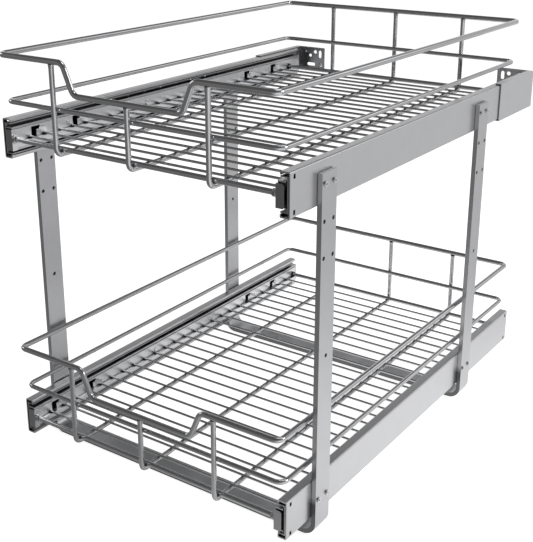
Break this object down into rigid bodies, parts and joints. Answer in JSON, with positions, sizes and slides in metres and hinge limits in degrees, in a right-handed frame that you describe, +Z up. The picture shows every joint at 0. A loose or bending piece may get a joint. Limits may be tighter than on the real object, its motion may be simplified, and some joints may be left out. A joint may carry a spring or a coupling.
{
  "type": "two-tier pull-out cabinet basket",
  "caption": "Two wire baskets, one above the other, that roll out of a cabinet on full-extension ball-bearing slides held by two U-shaped steel legs.",
  "frame": {"origin": "on the cabinet floor, at the middle of the outside width and depth", "axes": "+Z up, +X to the right as seen from the cabinet's front, -Y towards the front, the way the baskets pull out"},
  "size_m": [0.3652, 0.5654, 0.4535],
  "materials": {
    "wire": "satin chrome plate",
    "leg_steel": "satin grey zinc plate",
    "bracket_steel": "satin zinc plate",
    "rail_steel": "bright zinc plate",
    "cage_steel": "plain rolled",
    "ball_steel": "polished",
    "rubber": "matt",
    "fastener": "bright zinc plate"
  },
  "bodies": {
    "frame": {"front_u_frame": "leg_steel", "rear_u_frame": "leg_steel", "front_frame_screws": "fastener", "rear_frame_screws": "fastener", "upper_left_outer_rail": "rail_steel", "upper_right_outer_rail": "rail_steel", "lower_left_outer_rail": "rail_steel", "lower_right_outer_rail": "rail_steel", "upper_rail_stops": "rubber", "lower_rail_stops": "rubber"},
    "upper_basket": {"upper_top_rim": "wire", "upper_middle_rim": "wire", "upper_long_wires": "wire", "upper_cross_wires": "wire", "upper_floor_wires": "wire", "upper_bracket_rivets": "fastener", "upper_left_side_bracket": "bracket_steel", "upper_left_wire_ledge": "bracket_steel", "upper_left_inner_rail": "rail_steel", "upper_right_side_bracket": "bracket_steel", "upper_right_wire_ledge": "bracket_steel", "upper_right_inner_rail": "rail_steel"},
    "lower_basket": {"lower_top_rim": "wire", "lower_middle_rim": "wire", "lower_long_wires": "wire", "lower_cross_wires": "wire", "lower_floor_wires": "wire", "lower_bracket_rivets": "fastener", "lower_left_side_bracket": "bracket_steel", "lower_left_wire_ledge": "bracket_steel", "lower_left_inner_rail": "rail_steel", "lower_right_side_bracket": "bracket_steel", "lower_right_wire_ledge": "bracket_steel", "lower_right_inner_rail": "rail_steel"},
    "upper_left_middle_rail": {"upper_left_middle_rail": "rail_steel"},
    "upper_left_outer_cage": {"upper_left_outer_cage": "cage_steel", "upper_left_outer_balls": "ball_steel"},
    "upper_left_inner_cage": {"upper_left_inner_cage": "cage_steel", "upper_left_inner_balls": "ball_steel"},
    "upper_right_middle_rail": {"upper_right_middle_rail": "rail_steel"},
    "upper_right_outer_cage": {"upper_right_outer_cage": "cage_steel", "upper_right_outer_balls": "ball_steel"},
    "upper_right_inner_cage": {"upper_right_inner_cage": "cage_steel", "upper_right_inner_balls": "ball_steel"},
    "lower_left_middle_rail": {"lower_left_middle_rail": "rail_steel"},
    "lower_left_outer_cage": {"lower_left_outer_cage": "cage_steel", "lower_left_outer_balls": "ball_steel"},
    "lower_left_inner_cage": {"lower_left_inner_cage": "cage_steel", "lower_left_inner_balls": "ball_steel"},
    "lower_right_middle_rail": {"lower_right_middle_rail": "rail_steel"},
    "lower_right_outer_cage": {"lower_right_outer_cage": "cage_steel", "lower_right_outer_balls": "ball_steel"},
    "lower_right_inner_cage": {"lower_right_inner_cage": "cage_steel", "lower_right_inner_balls": "ball_steel"},
    "left_rear_bracket": {"left_rear_bracket": "bracket_steel", "left_bracket_fasteners": "fastener"},
    "right_rear_bracket": {"right_rear_bracket": "bracket_steel", "right_bracket_fasteners": "fastener"}
  },
  "joints": [
    {"name": "upper_basket_slide", "type": "slide", "parent": "frame", "child": "upper_basket", "axis": [0, -1, 0], "range_m": [0, 0.5]},
    {"name": "lower_basket_slide", "type": "slide", "parent": "frame", "child": "lower_basket", "axis": [0, -1, 0], "range_m": [0, 0.5]},
    {"name": "upper_left_middle_slide", "type": "slide", "parent": "frame", "child": "upper_left_middle_rail", "axis": [0, -1, 0], "range_m": [0, 0.25]},
    {"name": "upper_left_outer_cage_slide", "type": "slide", "parent": "frame", "child": "upper_left_outer_cage", "axis": [0, -1, 0], "range_m": [0, 0.125]},
    {"name": "upper_left_inner_cage_slide", "type": "slide", "parent": "frame", "child": "upper_left_inner_cage", "axis": [0, -1, 0], "range_m": [0, 0.375]},
    {"name": "upper_right_middle_slide", "type": "slide", "parent": "frame", "child": "upper_right_middle_rail", "axis": [0, -1, 0], "range_m": [0, 0.25]},
    {"name": "upper_right_outer_cage_slide", "type": "slide", "parent": "frame", "child": "upper_right_outer_cage", "axis": [0, -1, 0], "range_m": [0, 0.125]},
    {"name": "upper_right_inner_cage_slide", "type": "slide", "parent": "frame", "child": "upper_right_inner_cage", "axis": [0, -1, 0], "range_m": [0, 0.375]},
    {"name": "lower_left_middle_slide", "type": "slide", "parent": "frame", "child": "lower_left_middle_rail", "axis": [0, -1, 0], "range_m": [0, 0.25]},
    {"name": "lower_left_outer_cage_slide", "type": "slide", "parent": "frame", "child": "lower_left_outer_cage", "axis": [0, -1, 0], "range_m": [0, 0.125]},
    {"name": "lower_left_inner_cage_slide", "type": "slide", "parent": "frame", "child": "lower_left_inner_cage", "axis": [0, -1, 0], "range_m": [0, 0.375]},
    {"name": "lower_right_middle_slide", "type": "slide", "parent": "frame", "child": "lower_right_middle_rail", "axis": [0, -1, 0], "range_m": [0, 0.25]},
    {"name": "lower_right_outer_cage_slide", "type": "slide", "parent": "frame", "child": "lower_right_outer_cage", "axis": [0, -1, 0], "range_m": [0, 0.125]},
    {"name": "lower_right_inner_cage_slide", "type": "slide", "parent": "frame", "child": "lower_right_inner_cage", "axis": [0, -1, 0], "range_m": [0, 0.375]},
    {"name": "left_rear_bracket_slide", "type": "slide", "parent": "frame", "child": "left_rear_bracket", "axis": [0, 1, 0], "range_m": [-0.014, 0.04]},
    {"name": "right_rear_bracket_slide", "type": "slide", "parent": "frame", "child": "right_rear_bracket", "axis": [0, 1, 0], "range_m": [-0.014, 0.04]}
  ],
  "couplings": [
    {"joint": "upper_left_middle_slide", "follows": "upper_basket_slide", "ratio": 0.5},
    {"joint": "upper_left_outer_cage_slide", "follows": "upper_basket_slide", "ratio": 0.25},
    {"joint": "upper_left_inner_cage_slide", "follows": "upper_basket_slide", "ratio": 0.75},
    {"joint": "upper_right_middle_slide", "follows": "upper_basket_slide", "ratio": 0.5},
    {"joint": "upper_right_outer_cage_slide", "follows": "upper_basket_slide", "ratio": 0.25},
    {"joint": "upper_right_inner_cage_slide", "follows": "upper_basket_slide", "ratio": 0.75},
    {"joint": "lower_left_middle_slide", "follows": "lower_basket_slide", "ratio": 0.5},
    {"joint": "lower_left_outer_cage_slide", "follows": "lower_basket_slide", "ratio": 0.25},
    {"joint": "lower_left_inner_cage_slide", "follows": "lower_basket_slide", "ratio": 0.75},
    {"joint": "lower_right_middle_slide", "follows": "lower_basket_slide", "ratio": 0.5},
    {"joint": "lower_right_outer_cage_slide", "follows": "lower_basket_slide", "ratio": 0.25},
    {"joint": "lower_right_inner_cage_slide", "follows": "lower_basket_slide", "ratio": 0.75}
  ]
}
